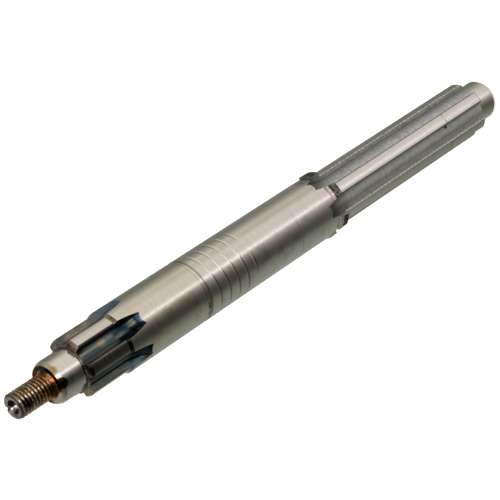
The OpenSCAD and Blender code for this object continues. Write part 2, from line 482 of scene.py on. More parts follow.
# One mark along a line parallel to the axis.
tree, given, result = new_group(
    "strip_mark", {"Place": "Vector", "Line": "Vector", "Core": "Float", "Reach": "Float"}, ["Mask"]
)
xyz = put("ShaderNodeSeparateXYZ", {0: given["Place"]}).outputs
flat = put("ShaderNodeCombineXYZ", {0: xyz[0], 1: xyz[1]}).outputs[0]
away = put(
    "ShaderNodeVectorMath", {0: flat, 1: given["Line"]}, operation="DISTANCE"
).outputs["Value"]
tree.links.new(span(away, given["Core"], given["Reach"], 1.0, 0.0), result["Mask"])

# One ring-shaped mark about a height.
BAND_CORE = 0.4
tree, given, result = new_group(
    "ring_mark", {"Height": "Float", "Middle": "Float", "Half": "Float"}, ["Mask"]
)
off = sums("ABSOLUTE", sums("SUBTRACT", given["Height"], given["Middle"]))
core = sums("MULTIPLY", given["Half"], BAND_CORE)
tree.links.new(span(off, core, given["Half"], 1.0, 0.0), result["Mask"])


def rings(place, per_metre):
    return shared("turning_rings", place, per_metre)[0]


def patches(place, per_metre, level, softness):
    return shared("stain_patches", place, per_metre, level, softness)[0]


def axis_radius(place):
    return shared("axis_place", place)


def on_shaft(radius, azimuth, height=0.0):
    """A point of the shaft in metres, from millimetres and degrees."""
    turn = math.radians(azimuth)
    return radius * math.cos(turn) * MM, radius * math.sin(turn) * MM, height * MM


def spot(place, radius, azimuth, height, reach, ragged=0.0, core=0.55):
    """One stain of a reach about a point of the shaft, in millimetres and degrees."""
    centre = on_shaft(radius, azimuth, height)
    return shared("spot_mark", place, centre, core * reach * MM, reach * MM, ragged * MM)[0]


def strip(place, radius, azimuth, reach, core=0.55):
    """One mark of a reach along a line parallel to the axis, in millimetres and degrees."""
    return shared("strip_mark", place, on_shaft(radius, azimuth), core * reach * MM, reach * MM)[0]


def band(height, middle, half):
    """One ring-shaped mark at a height, in millimetres."""
    return shared("ring_mark", height, middle * MM, half * MM)[0]


def times(*shares):
    """The product of several masks."""
    value = shares[0]
    for other in shares[1:]:
        value = sums("MULTIPLY", value, other)
    return value


def stain(colour, mask, share, tone):
    """A colour with a tone laid over it inside a mask, up to a share."""
    return blend(times(mask, share), colour, (*tone, 1))


ground, tree, shader, place = new_material("ground_steel", 1.0)
radius, height = axis_radius(place)
grain = rings(place, 1400.0)
straw = patches(place, 95.0, 0.52, 0.25)
cloudy = patches(place, 330.0, 0.5, 0.4)
specks = patches(place, 900.0, 0.695, 0.05)
colour = blend(times(straw, 0.5), (0.66, 0.62, 0.575, 1), (0.61, 0.555, 0.46, 1))
colour = blend(span(grain, 0.35, 0.7, 0.0, 0.22), colour, (0.50, 0.47, 0.43, 1))
colour = stain(colour, cloudy, 0.17, (0.44, 0.41, 0.35))
in_groove = times(span(radius, 0.01470, 0.01497, 1.0, 0.0), span(radius, 0.01455, 0.01465))
aged = times(span(height, 0.2160, 0.2240), span(height, 0.2620, 0.2670, 1.0, 0.0))
colour = blend(aged, colour, (0.97, 0.965, 0.90, 1), "MULTIPLY")
low_side = spot(place, 15, -152, 207, 19)
colour = stain(colour, times(in_groove, low_side), 0.45, (0.10, 0.09, 0.07))
oil_line = times(
    span(radius, 0.01485, 0.01495, 1.0, 0.0), span(radius, 0.01476, 0.01480),
    span(height, 0.2192, 0.2198, 1.0, 0.0),
)
under = strip(place, 15, -128, 9.5, 0.8)
oil_dirt = times(oil_line, under, span(cloudy, 0, 1, 0.25, 0.65))
colour = blend(oil_dirt, colour, (0.115, 0.095, 0.08, 1))
smudges = times(under, patches(place, 150.0, 0.57, 0.10), span(height, 0.140, 0.150))
smudges = times(smudges, span(height, 0.255, 0.262, 1.0, 0.0))
colour = stain(colour, smudges, 0.28, (0.27, 0.20, 0.135))
ring_dirt = times(
    in_groove, spot(place, 15, -146, 221.2, 5.0, 6.0), patches(place, 520.0, 0.45, 0.2)
)
colour = stain(colour, ring_dirt, 0.85, (0.035, 0.03, 0.022))
ring_line = sums("MAXIMUM", band(height, 220.1, 0.42), band(height, 222.3, 0.35))
colour = stain(colour, ring_line, 0.6, (0.20, 0.165, 0.12))
by_collar = spot(place, 15.5, -30, 133.0, 8.5, 3.0)
colour = stain(colour, by_collar, 0.55, (0.19, 0.20, 0.165))
old_ring = times(band(height, 158.5, 0.35), spot(place, 15, -140, 158.5, 17.0), 0.42)
colour = blend(old_ring, colour, (0.20, 0.18, 0.14, 1))
scratch = times(band(height, 43.0, 0.55), patches(place, 500.0, 0.42, 0.15), 0.75)
colour = blend(scratch, colour, (0.27, 0.18, 0.10, 1))
colour = stain(colour, specks, 0.45, (0.10, 0.085, 0.065))
land_end = times(span(height, 0.01545, 0.01530), span(radius, 0.0128, 0.0130))
colour = stain(colour, land_end, 0.8, (0.22, 0.165, 0.10))
lead_stain = spot(place, 10, -73, 303.9, 1.9, 2.0)
colour = stain(colour, lead_stain, 0.7, (0.40, 0.28, 0.12))
# A black spot on the lower side of the front journal's end.
JOURNAL_END_BLACK_SPOT, JOURNAL_END_BLACK_TONE = (10, -114, 304.2, 2.9, 0.8, 0.85), (0.010, 0.009, 0.008)
colour = stain(colour, spot(place, *JOURNAL_END_BLACK_SPOT), 0.97, JOURNAL_END_BLACK_TONE)
at_front = times(span(height, 0.2695, 0.2700), span(height, 0.2900, 0.2915, 1.0, 0.0))
# Painted shade: the short spline's lower land is darkened where it turns away from the light.
low_land_shade = times(at_front, strip(place, 14, -119.5, 3.1, 0.45))
colour = stain(colour, low_land_shade, 0.62, (0.05, 0.055, 0.05))
# A dark strip along the lower edge of the short spline's upper land.
dark_edge_strip = times(at_front, strip(place, 14, -72.2, 1.05, 0.6))
colour = stain(colour, dark_edge_strip, 0.9, (0.045, 0.036, 0.022))
dress(shader, colour, span(grain, 0.3, 0.7, 0.13, 0.26), grain, 0.000004)

# Milled grooves of the long spline: plain grey steel, dulled by the cutter's feed marks across it,
# with a brown film of oil that has dried on the flanks. Over it lies painted light and shade:
# lighter tones on the lit side and in the middle grooves, a painted reflection and painted shade on
# a bottom, painted highlight lines in the corners, painted light on a far flank and painted shade
# at the run-outs.

# Marks across the work, once for every turn of the cutter, as a share between two levels.
tree, given, result = new_group(
    "feed_marks", {"Height": "Float", "Turn per metre": "Float", "Low": "Float", "High": "Float"},
    ["Share"],
)
wave = sums("SINE", sums("MULTIPLY", given["Height"], given["Turn per metre"]))
tree.links.new(span(wave, -1, 1, given["Low"], given["High"]), result["Share"])

# Height above a groove's bottom, which rises in the cutter's arc past the stop.
tree, given, result = new_group(
    "over_groove_floor", {"Radius": "Float", "Height": "Float", "Stop": "Float", "Away": "Float"},
    ["Above"],
)
past = times(sums("SUBTRACT", given["Height"], given["Stop"]), given["Away"])
past = sums("MAXIMUM", past, 0.0)
rise = times(sums("POWER", past, 2.0), 1 / (2 * CUTTER_R * MM))
above = sums("SUBTRACT", given["Radius"], ROOT_R * MM)
tree.links.new(sums("SUBTRACT", above, rise), result["Above"])


def feed_lines(height, pitch, low, high):
    return shared("feed_marks", height, 2 * math.pi / (pitch * MM), low, high)[0]


def over_floor(radius, height, stop, away):
    return shared("over_groove_floor", radius, height, stop * MM, away)[0]


hobbed, tree, shader, place = new_material("milled_grey_steel", 0.25, 0.25)
radius, height = axis_radius(place)
above = over_floor(radius, height, REAR_STOP_Z, 1.0)
flank = span(above, 0.0004, 0.0007)
corner_highlight = span(above, -0.00028, -0.00012, 1.0, 0.0)
uneven = patches(place, 150.0, 0.5, 0.3)
mottle = noise(place, 520.0, 4.0, 0.6)
wander = sums("MULTIPLY_ADD", noise(place, 210.0, 2.0), 0.0022, height)
marks = sums(
    "MULTIPLY_ADD", feed_lines(wander, 2.94, 0.0, 0.5), 1.0,
    times(feed_lines(wander, 0.98, 0.0, 0.5), uneven),
)
marks = times(marks, span(uneven, 0, 1, 0.55, 1.25))
tone = sums("MULTIPLY_ADD", span(mottle, 0.3, 0.7, -0.05, 1.45), 0.55, times(marks, 0.42))
place_xyz = put("ShaderNodeSeparateXYZ", {0: place}).outputs
# Painted light: the side of the grooves that faces the light takes lighter, warmer tones than the
# other.
lit_side = span(place_xyz[0], -0.001, 0.002)
colour = blend(
    lit_side, blend(tone, (0.33, 0.335, 0.30, 1), (0.60, 0.605, 0.55, 1)),
    blend(tone, (0.265, 0.27, 0.265, 1), (0.50, 0.51, 0.515, 1)),
)
# Painted light: grooves round the middle are lightened and those further round darkened.
lit_middle_strip = strip(place, 14, -90, 9.2, 0.52)
colour = blend(1.0, colour, span(lit_middle_strip, 0, 1, 0.66, 1.36), "MULTIPLY")
# Painted reflection: a light strip along the lower groove's bottom.
low_lit = strip(place, 11.5, -116.5, 2.6, 0.2)
colour = stain(colour, low_lit, 0.3, (0.66, 0.665, 0.62))
# Painted shade: a dark strip on the groove bottom beside the land's edge.
under_land_shade = strip(place, 11.4, -105.0, 2.3, 0.3)
colour = stain(colour, under_land_shade, 0.75, (0.17, 0.172, 0.15))
side_tone = blend(tone, (0.24, 0.225, 0.20, 1), (0.47, 0.455, 0.425, 1))
# Painted light: flanks on the lit side are made lighter.
side_tone = blend(1.0, side_tone, span(lit_side, 0, 1, 0.86, 1.15), "MULTIPLY")
ticks = times(feed_lines(wander, 2.94, -0.9, 1.0), uneven)
side_tone = stain(side_tone, ticks, 0.62, (0.13, 0.11, 0.09))
nicks = times(feed_lines(wander, 1.47, -1.2, 1.0), patches(place, 260.0, 0.48, 0.2))
side_tone = stain(side_tone, nicks, 0.58, (0.68, 0.655, 0.62))
low_flank = strip(place, 13.0, -136, 2.2)
chatter = feed_lines(wander, 1.47, -0.3, 1.3)
side_tone = stain(side_tone, times(low_flank, chatter), 0.5, (0.10, 0.088, 0.07))
smooth = sums("SUBTRACT", 1.0, chatter, clamp=True)
side_tone = stain(side_tone, times(low_flank, smooth), 0.5, (0.62, 0.59, 0.55))
colour = blend(flank, colour, side_tone)
by_middle = strip(place, 14, -90, 7.0)
# Painted highlight: light lines along the groove corners, left out in the middle groove.
corner_highlight = times(corner_highlight, sums("SUBTRACT", 1.0, by_middle))
colour = stain(colour, corner_highlight, 0.55, (0.60, 0.56, 0.51))
# Painted light: a far flank, shut in by the tooth in front, is lightened.
FAR_TOOTH_LINE, FAR_FLANK_PAINTED_LIGHT = (14, 162.4, 2.6), (0.66, 0.67, 0.58)
colour = stain(colour, strip(place, *FAR_TOOTH_LINE), 0.8, FAR_FLANK_PAINTED_LIGHT)
# Painted shade: the run-outs next to the collar are darkened to a green-black and made rougher.
jittered_height = sums("MULTIPLY_ADD", mottle, 0.002, sums("MULTIPLY_ADD", lit_side, -0.0035, height))
run_out_shade = times(span(jittered_height, 0.1195, 0.1345), span(place_xyz[0], -0.0118, -0.0098))
colour = stain(colour, run_out_shade, 0.96, (0.030, 0.036, 0.029))
pit = spot(place, 11.4, -106.9, 42.9, 1.2, 0.0, 0.7)
colour = blend(pit, colour, (0.008, 0.008, 0.007, 1))
dress(
    shader, colour, sums("MULTIPLY_ADD", run_out_shade, 0.15, span(flank, 0, 1, 0.42, 0.55)), marks,
    0.00002,
)

# Milled grooves of the short spline, blued by the hardening torch: a blue-black oxide, with one
# tan patch on a bottom, a steel-blue sheen at the run-outs and straw brown on the flanks that face
# the light. Painted shade blackens the flanks turned away and a lower corner; a painted glint lies
# on a tip.
blued, tree, shader, place = new_material("blued_oxide_steel", 1.0)
radius, height = axis_radius(place)
place_xyz = put("ShaderNodeSeparateXYZ", {0: place}).outputs
drawn = put("ShaderNodeCombineXYZ", {
    0: place_xyz[0], 1: place_xyz[1], 2: times(place_xyz[2], 0.22),
}).outputs[0]
film = noise(drawn, 420.0, 4.0, 0.55)
mottle = patches(place, 230.0, 0.52, 0.16)
colour = ramp(film, [
    (0.33, (0.012, 0.022, 0.028)), (0.45, (0.032, 0.052, 0.060)),
    (0.56, (0.070, 0.102, 0.114)), (0.68, (0.14, 0.165, 0.17)),
])
run_out = span(height, 0.2705, 0.2660)
sheen = times(span(height, 0.2660, 0.2610), mottle)
colour = stain(colour, run_out, 0.7, (0.010, 0.016, 0.028))
colour = stain(colour, sheen, 0.75, (0.12, 0.21, 0.33))
on_floor = span(height, 0.2710, 0.2730)
worn_floor = times(strip(place, 11.5, -85.5, 1.5, 0.2), on_floor, span(film, 0.3, 0.6, 0.45, 1.0))
colour = stain(colour, worn_floor, 0.75, (0.21, 0.22, 0.185))
tan = times(spot(place, 11.5, -85.0, 279.0, 2.5, 0.8, 0.4), span(film, 0.36, 0.5, 0.6, 1.0))
colour = stain(colour, tan, 0.85, (0.34, 0.265, 0.165))
near_floor = times(
    strip(place, 11.5, -102.0, 1.9, 0.6), span(height, 0.2700, 0.2730),
    span(radius, 0.0116, 0.0118, 1.0, 0.0),
)
colour = stain(colour, near_floor, 0.85, (0.105, 0.125, 0.115))
dull_floor = times(strip(place, 11.5, -94.0, 1.6, 0.5), on_floor)
colour = stain(colour, dull_floor, 0.6, (0.022, 0.034, 0.036))
floor_line = times(spot(place, 11.4, -68, 280, 9.5), span(radius, 0.01128, 0.01140, 1.0, 0.0))
colour = stain(colour, floor_line, 0.8, (0.15, 0.16, 0.135))
soot = spot(place, 13.2, -96, 262.6, 2.5, 1.5)
colour = stain(colour, soot, 0.9, (0.008, 0.009, 0.012))
gold = sums("MAXIMUM", strip(place, 13.2, -89, 0.85), strip(place, 13.2, -82, 0.75))
gold = times(gold, band(height, 262.3, 2.8), span(noise(place, 1100.0), 0.40, 0.55, 0.2, 1.0))
colour = stain(colour, gold, 0.85, (0.45, 0.37, 0.19))
# Painted glint: a blue-white patch on the tip of a run-out.
tip_glint = times(spot(place, 14.6, -86, 257.8, 2.4, 1.5), span(mottle, 0.1, 0.6, 0.35, 1.0))
colour = stain(colour, tip_glint, 0.85, (0.22, 0.33, 0.46))
azimuth = sums("ARCTAN2", place_xyz[1], place_xyz[0])
side = sums("SINE", sums("MULTIPLY_ADD", azimuth, 6.0, -math.pi))
above = over_floor(radius, height, FRONT_STOP_Z, -1.0)
flank = span(above, 0.0002, 0.0005)
# Painted shade and light: flanks turned away from the light are painted near black, and flanks
# facing it a straw brown as lit.
flanks_in_shade = times(flank, span(side, 0.0, 0.2))
flanks_to_light = times(
    flank, span(side, 0.0, -0.2), span(height, 0.270, 0.279),
    span(height, 0.2830, 0.2875, 1.0, 0.25),
)
colour = stain(colour, flanks_in_shade, 0.9, (0.012, 0.011, 0.010))
straw = blend(mottle, (0.16, 0.125, 0.08, 1), (0.10, 0.095, 0.075, 1))
colour = blend(times(flanks_to_light, 0.85), colour, straw)
pale_side = times(strip(place, 13.4, -14, 6.5), span(film, 0.3, 0.6, 0.55, 1.0))
pale_brown = blend(mottle, (0.20, 0.17, 0.115, 1), (0.37, 0.315, 0.215, 1))
pale_tone = blend(span(height, 0.262, 0.270), (0.075, 0.115, 0.155, 1), (0.115, 0.125, 0.105, 1))
pale_tone = blend(span(height, 0.271, 0.276), pale_tone, pale_brown)
pale_tone = blend(span(height, 0.2835, 0.2885), pale_tone, (0.075, 0.098, 0.092, 1))
colour = blend(times(pale_side, 0.85), colour, pale_tone)
low_end = span(height, 0.2705, 0.2680)
low_run = times(spot(place, 13.2, -150, 262.0, 8.5), low_end)
teal = blend(mottle, (0.004, 0.010, 0.012, 1), (0.014, 0.034, 0.039, 1))
colour = blend(times(low_run, 0.85), colour, teal)
low_run_side = times(strip(place, 14.2, -165, 2.6), low_end)
teal = blend(mottle, (0.026, 0.038, 0.034, 1), (0.085, 0.14, 0.145, 1))
colour = blend(times(low_run_side, 0.8), colour, teal)
low_side = times(strip(place, 12.4, -166.0, 2.4), span(height, 0.2690, 0.2740))
olive = blend(mottle, (0.040, 0.052, 0.042, 1), (0.085, 0.075, 0.046, 1))
colour = blend(times(low_side, 0.85), colour, olive)
# Painted shade: a black strip in the lower groove's corner.
low_corner_shade = strip(place, 11.4, -155.5, 1.3, 0.4)
colour = stain(colour, low_corner_shade, 0.95, (0.004, 0.005, 0.005))
dulled = sums("MAXIMUM", times(pale_side, 0.55), times(near_floor, 0.7))
dulled = sums("MAXIMUM", dulled, times(floor_line, 0.6))
tree.links.new(sums("SUBTRACT", 1.0, dulled), shader.inputs["Metallic"])
dress(shader, colour, span(film, 0.3, 0.7, 0.22, 0.36), film, 0.000010)

# Turned faces that were never ground: shoulders, the step up to the body and the ends of the short
# spline's teeth. They keep a brown film from hardening, mottled from black to tan, with painted
# shade on the upper side of the stud's shoulder.
browned, tree, shader, place = new_material("browned_turned_steel", 1.0)
film = noise(place, 420.0, 5.0, 0.65)
colour = ramp(film, [
    (0.32, (0.060, 0.046, 0.030)), (0.47, (0.22, 0.175, 0.112)),
    (0.58, (0.35, 0.295, 0.20)), (0.72, (0.49, 0.43, 0.32)),
])
radius, height = axis_radius(place)
by_stud = span(height, 0.3040, 0.3048)
burnt = ramp(film, [
    (0.36, (0.010, 0.003, 0.001)), (0.50, (0.036, 0.011, 0.003)), (0.66, (0.24, 0.085, 0.018)),
])
colour = blend(by_stud, colour, burnt)
# Painted shade: the stud's shoulder is darkened nearly black on its upper side.
colour = stain(
    colour, times(by_stud, spot(place, 7.2, -45, 305, 4.6, 1.0)), 0.8, (0.010, 0.004, 0.002)
)
pale = times(by_stud, spot(place, 8.9, -174, 305, 7.0, 1.2))
colour = stain(colour, pale, 0.9, (0.56, 0.51, 0.37))
corner_ring = times(span(radius, 0.0108, 0.0111, 1.0, 0.0), span(height, 0.2925, 0.2935, 1.0, 0.0))
colour = stain(colour, corner_ring, 0.6, (0.055, 0.048, 0.036))
smears = sums(
    "MAXIMUM",
    spot(place, 14.6, -120, 268.8, 2.9, 0.6), spot(place, 13.6, -121, 290.9, 2.9, 0.6),
)
smears = sums("MAXIMUM", smears, spot(place, 10.9, -110, 292.1, 2.1, 0.6))
colour = stain(colour, smears, 0.93, (0.012, 0.010, 0.008))
dress(shader, colour, span(film, 0.3, 0.7, 0.17, 0.30), film, 0.000010)

# Collar: left as it came from the forge and the hardening, under dark scale with paler chips.
# The scale has worn away in a ragged line along the edge next to the body.
scale, tree, shader, place = new_material("collar_scale", 0.75)
radius, height = axis_radius(place)
film = noise(place, 640.0, 6.0, 0.7)
colour = ramp(film, [
    (0.36, (0.010, 0.009, 0.007)), (0.46, (0.060, 0.046, 0.032)), (0.53, (0.18, 0.14, 0.10)),
    (0.60, (0.30, 0.25, 0.20)), (0.69, (0.66, 0.62, 0.57)),
])
place_x = put("ShaderNodeSeparateXYZ", {0: place}).outputs[0]
green = sums("MAXIMUM", span(place_x, 0.005, 0.008), span(place_x, -0.007, -0.010))
colour = stain(colour, green, 0.75, (0.034, 0.041, 0.032))
edge_at = span(place_x, -0.011, -0.004, 0.1302, 0.1315)
ragged = sums(
    "MULTIPLY_ADD", noise(place, 700.0, 3.0, 0.6), 0.0036, sums("SUBTRACT", height, 0.0018)
)
worn = span(sums("SUBTRACT", ragged, edge_at), 0.0, 0.00015)
worn = times(worn, span(place_x, 0.005, 0.008, 1.0, 0.15))
bare = blend(span(place_x, -0.011, -0.005), (0.56, 0.53, 0.45, 1), (0.74, 0.70, 0.65, 1))
bare = stain(bare, patches(place, 700.0, 0.58, 0.1), 0.6, (0.20, 0.14, 0.09))
colour = blend(worn, colour, bare)
wall = span(radius, 0.01590, 0.01596)
tree.links.new(
    sums("MAXIMUM", times(worn, wall), span(worn, 0, 1, 0.7, 0.3)), shader.inputs["Metallic"]
)
rough = sums("MULTIPLY_ADD", worn, -0.26, span(film, 0.35, 0.7, 0.6, 0.45))
lumps = times(film, sums("SUBTRACT", 1.0, worn))
dress(shader, colour, rough, lumps, 0.00010)

# Thread: bare steel crests gone olive with handling, and rust that thickens towards the shoulder.
# A black smear of burnt oil lies on the camera's side. Painted light and shade lie over it: a
# highlight streak along the crests with a dark band below, shade by the shoulder and glints on the
# fillet.
rusty, tree, shader, place = new_material("rusty_thread_steel", 0.9)
radius, height = axis_radius(place)
crust = noise(place, 700.0, 5.0, 0.65)
depth = span(radius, 0.0051, 0.00575, 1.0, 0.0)
near_shoulder = span(height, 0.3080, 0.3150, 1.0, 0.0)
rust = sums("MULTIPLY_ADD", near_shoulder, 1.0, times(depth, 0.75))
rust = sums("MULTIPLY", rust, span(crust, 0.35, 0.6, 0.35, 1.2), clamp=True)
metal_tone = ramp(crust, [
    (0.35, (0.115, 0.092, 0.056)), (0.50, (0.34, 0.285, 0.19)), (0.68, (0.66, 0.60, 0.48)),
])
rust_tone = ramp(crust, [
    (0.36, (0.050, 0.017, 0.004)), (0.50, (0.36, 0.145, 0.032)), (0.68, (0.68, 0.33, 0.095)),
])
colour = blend(rust, metal_tone, rust_tone)
colour = stain(colour, depth, 0.25, (0.035, 0.020, 0.010))
end_film = span(height, 0.3220, 0.3230)
colour = stain(colour, end_film, 0.8, (0.125, 0.118, 0.088))
smear = sums(
    "MAXIMUM",
    spot(place, 5.7, -99, 320.9, 2.1, 1.2), spot(place, 5.7, -122, 319.9, 2.5, 1.2),
)
colour = stain(colour, smear, 0.93, (0.006, 0.005, 0.005))
# Painted highlight: a pale streak along the crests.
crest_highlight = times(
    strip(place, 5.9, -90.5, 0.9, 0.3), sums("SUBTRACT", 1.0, depth),
    span(crust, 0.35, 0.55, 0.3, 1.0),
)
colour = stain(colour, crest_highlight, 0.85, (1.0, 0.84, 0.74))
# Painted shade: a near-black band below the crests' highlight.
dark_band_below_highlight = times(strip(place, 5.6, -109, 2.3, 0.3), span(crust, 0.4, 0.6, 0.75, 0.35))
colour = blend(dark_band_below_highlight, colour, (0.020, 0.014, 0.009, 1))
shade = sums(
    "MAXIMUM",
    spot(place, 6.6, -138, 305.2, 5.6, 1.5), spot(place, 6.6, -42, 304.9, 3.0, 1.0),
)
colour = stain(colour, shade, 0.88, (0.020, 0.008, 0.003))
ember = spot(place, 6.3, -72, 305.5, 1.7, 0.8)
colour = stain(colour, ember, 0.75, (0.55, 0.15, 0.018))
# Painted glint: a small bright orange spot on the fillet, with lower roughness.
glow = spot(place, 6.2, -94, 305.4, 1.0, 0.5)
colour = blend(glow, colour, (1.0, 0.15, 0.012, 1))
# Painted highlights: golden patches on the fillet.
gilt_highlights = times(spot(place, 6.2, -62, 305.6, 2.6, 1.0), span(crust, 0.45, 0.6))
colour = stain(colour, gilt_highlights, 0.7, (0.62, 0.45, 0.20))
rough = sums("MULTIPLY_ADD", glow, -0.25, span(rust, 0, 1, 0.24, 0.38))
rough = sums("MULTIPLY_ADD", end_film, 0.15, rough)
dress(shader, colour, rough, crust, 0.00003)

# End faces and centre holes: faced on the lathe and left with fine rings and a grey-green film.
# The cones are bright where the centre has run, with painted shade on two sides and a painted
# glint.
faced, tree, shader, place = new_material("faced_end_steel", 1.0)
radius, height = axis_radius(place)
film = noise(place, 500.0, 4.0, 0.6)
colour = ramp(film, [
    (0.34, (0.18, 0.168, 0.122)), (0.55, (0.32, 0.305, 0.24)), (0.72, (0.45, 0.43, 0.355)),
])
cone = span(radius, 0.00330, 0.00338, 1.0, 0.0)
deep = span(height, 0.3234, 0.3224)
colour = blend(cone, colour, blend(deep, (0.40, 0.32, 0.27, 1), (0.86, 0.84, 0.81, 1)))
dried = sums(
    "MAXIMUM", times(cone, band(height, 322.6, 0.5)), spot(place, 2.5, 130, 322.8, 1.5, 0.5)
)
colour = stain(colour, times(dried, cone), 0.85, (0.13, 0.09, 0.055))
# Painted glint: a pinkish-white spot in the cone.
colour = blend(times(cone, spot(place, 2.9, 81, 323.3, 0.8)), colour, (0.92, 0.80, 0.76, 1))
# Painted shade: the cone is darkened on two sides around its bright middle.
painted_dark_sides = sums(
    "MAXIMUM",
    spot(place, 3.0, 20, 323.2, 2.9, 0.5), spot(place, 3.0, 160, 323.2, 2.7, 0.5),
)
colour = stain(colour, times(cone, painted_dark_sides), 0.95, (0.020, 0.016, 0.012))
grooving = sums("SINE", sums("MULTIPLY", radius, 2 * math.pi / 0.00035))
rough = sums("MULTIPLY_ADD", cone, -0.18, span(film, 0.3, 0.7, 0.28, 0.42))
dress(shader, colour, rough, grooving, 0.000002)

# Lead chamfers of the two journals: ground with the journals so that a bearing slides on. Damp has
# spotted them brown along the edge.
lead, tree, shader, place = new_material("lead_chamfer_steel", 1.0)
spots = patches(place, 420.0, 0.55, 0.14)
colour = blend(times(spots, 0.6), (0.64, 0.59, 0.48, 1), (0.30, 0.22, 0.12, 1))
brown_spot = spot(place, 9.5, -72, 304.2, 2.6, 2.0)
colour = stain(colour, brown_spot, 0.7, (0.40, 0.27, 0.11))
colour = stain(colour, spot(place, *JOURNAL_END_BLACK_SPOT), 0.97, JOURNAL_END_BLACK_TONE)
dress(shader, colour, span(spots, 0, 1, 0.2, 0.36))

# Broken edges of the teeth: a file and the cutter's exit leave a dull line of short dashes, bright
# where the burr went and brown between. One lower edge is painted brighter as a glint, and a far
# edge gets painted light.
broken_edges, tree, shader, place = new_material("broken_edge_steel", 0.3)
height = axis_radius(place)[1]
uneven = patches(place, 170.0, 0.47, 0.3)
wander = sums("MULTIPLY_ADD", noise(place, 210.0, 2.0), 0.003, height)
dash = sums(
    "MULTIPLY_ADD", feed_lines(wander, 2.94, -0.3, 0.8), span(uneven, 0, 1, 0.4, 1.2),
    times(feed_lines(wander, 1.47, -0.1, 0.6), uneven),
)
colour = blend(dash, (0.31, 0.30, 0.27, 1), (0.65, 0.64, 0.61, 1))
colour = stain(colour, strip(place, 14, -90, 7.0), 0.85, (0.16, 0.145, 0.105))
# Painted glint: the lower tooth's edge is lightened nearly white.
low_edge_glint = times(strip(place, 14, -137.6, 2.4), span(dash, 0, 1, 0.35, 0.75))
colour = blend(low_edge_glint, colour, (0.88, 0.865, 0.82, 1))
# Painted light: the far tooth's edge is lightened as in the milled grooves.
colour = stain(colour, strip(place, *FAR_TOOTH_LINE), 0.8, FAR_FLANK_PAINTED_LIGHT)
at_front = span(height, 0.200, 0.210)
front_tone = blend(uneven, (0.07, 0.056, 0.040, 1), (0.20, 0.16, 0.115, 1))
front_tone = stain(front_tone, strip(place, 14, -72.4, 2.4), 0.93, (0.010, 0.010, 0.009))
high_edge = strip(place, 14, -47.6, 2.0)
front_tone = stain(front_tone, high_edge, 0.8, (0.45, 0.43, 0.35))
colour = blend(at_front, colour, front_tone)
colour = blend(spot(place, 13.8, -103, 45.0, 0.7), colour, (0.020, 0.020, 0.018, 1))
dress(shader, colour, span(dash, 0, 1, 0.5, 0.36))

for slot_material in (ground, hobbed, blued, browned, scale, rusty, faced, lead, broken_edges):
    shaft.data.materials.append(slot_material)

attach(shaft, "root")
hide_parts("main_shaft")

# Camera: the photograph's own view, from above the stud's end, rolled so that the shaft lies
# across the frame from lower left to upper right.
FRAME_PIXELS, SENSOR_MM = 500, 36.0
VIEW_TILT, VIEW_AZIMUTH, VIEW_ROLL = math.radians(38), math.radians(-96.5), math.radians(33.4684)
FOCAL_PIXELS, VIEW_DISTANCE = 1911.8, 0.863977
VIEW_TARGET = Vector((0, 0, 0.1779))
up = Vector((0, 0, 1))
outward = Vector((math.cos(VIEW_AZIMUTH), math.sin(VIEW_AZIMUTH), 0))
look = -math.cos(VIEW_TILT) * outward - math.sin(VIEW_TILT) * up
along = -math.cos(VIEW_TILT) * up + math.sin(VIEW_TILT) * outward
across = outward.cross(up)
frame_x = math.cos(VIEW_ROLL) * along + math.sin(VIEW_ROLL) * across
frame_y = math.sin(VIEW_ROLL) * along - math.cos(VIEW_ROLL) * across
half_pixel = 0.5 * VIEW_DISTANCE / FOCAL_PIXELS
stand = VIEW_TARGET - look * VIEW_DISTANCE - half_pixel * (frame_x - frame_y)
lens = bpy.data.cameras.new("view")
lens.sensor_fit = "HORIZONTAL"
lens.sensor_width = SENSOR_MM
lens.lens = FOCAL_PIXELS / FRAME_PIXELS * SENSOR_MM
lens.clip_start = 0.01
view = bpy.data.objects.new("view", lens)
scene.collection.objects.link(view)
view.matrix_world = Matrix((
    (frame_x.x, frame_y.x, -look.x, stand.x),
    (frame_x.y, frame_y.y, -look.y, stand.y),
    (frame_x.z, frame_y.z, -look.z, stand.z),
    (0, 0, 0, 1),
))
scene.camera = view

# Floor: a plain white table under the foot. The camera sees it nearly white with the shaft's soft
# shadow on it; the steel mirrors the light tent in its place.
TABLE_HALF, TABLE_TONE, TABLE_GLOW = 3.0, (0.8, 0.8, 0.8, 1), 0.72
floor_mesh = bpy.data.meshes.new("floor")
table = bmesh.new()
bmesh.ops.create_grid(table, x_segments=1, y_segments=1, size=TABLE_HALF)
table.to_mesh(floor_mesh)
table.free()
floor = bpy.data.objects.new("floor", floor_mesh)
scene.collection.objects.link(floor)
floor.visible_glossy = False
white = bpy.data.materials.new("white_table")
white.use_nodes = True
tree = white.node_tree
tree.nodes.remove(tree.nodes["Principled BSDF"])
paper = put("ShaderNodeBsdfDiffuse", {"Color": TABLE_TONE}).outputs[0]
glow = put("ShaderNodeEmission", {"Color": (1, 1, 1, 1), "Strength": TABLE_GLOW}).outputs[0]
seen = put("ShaderNodeLightPath").outputs["Is Camera Ray"]
lit = put("ShaderNodeAddShader", {0: paper, 1: glow}).outputs[0]
shown = put("ShaderNodeMixShader", {0: seen, 1: paper, 2: lit}).outputs[0]
tree.links.new(shown, tree.nodes["Material Output"].inputs[0])
floor_mesh.materials.append(white)

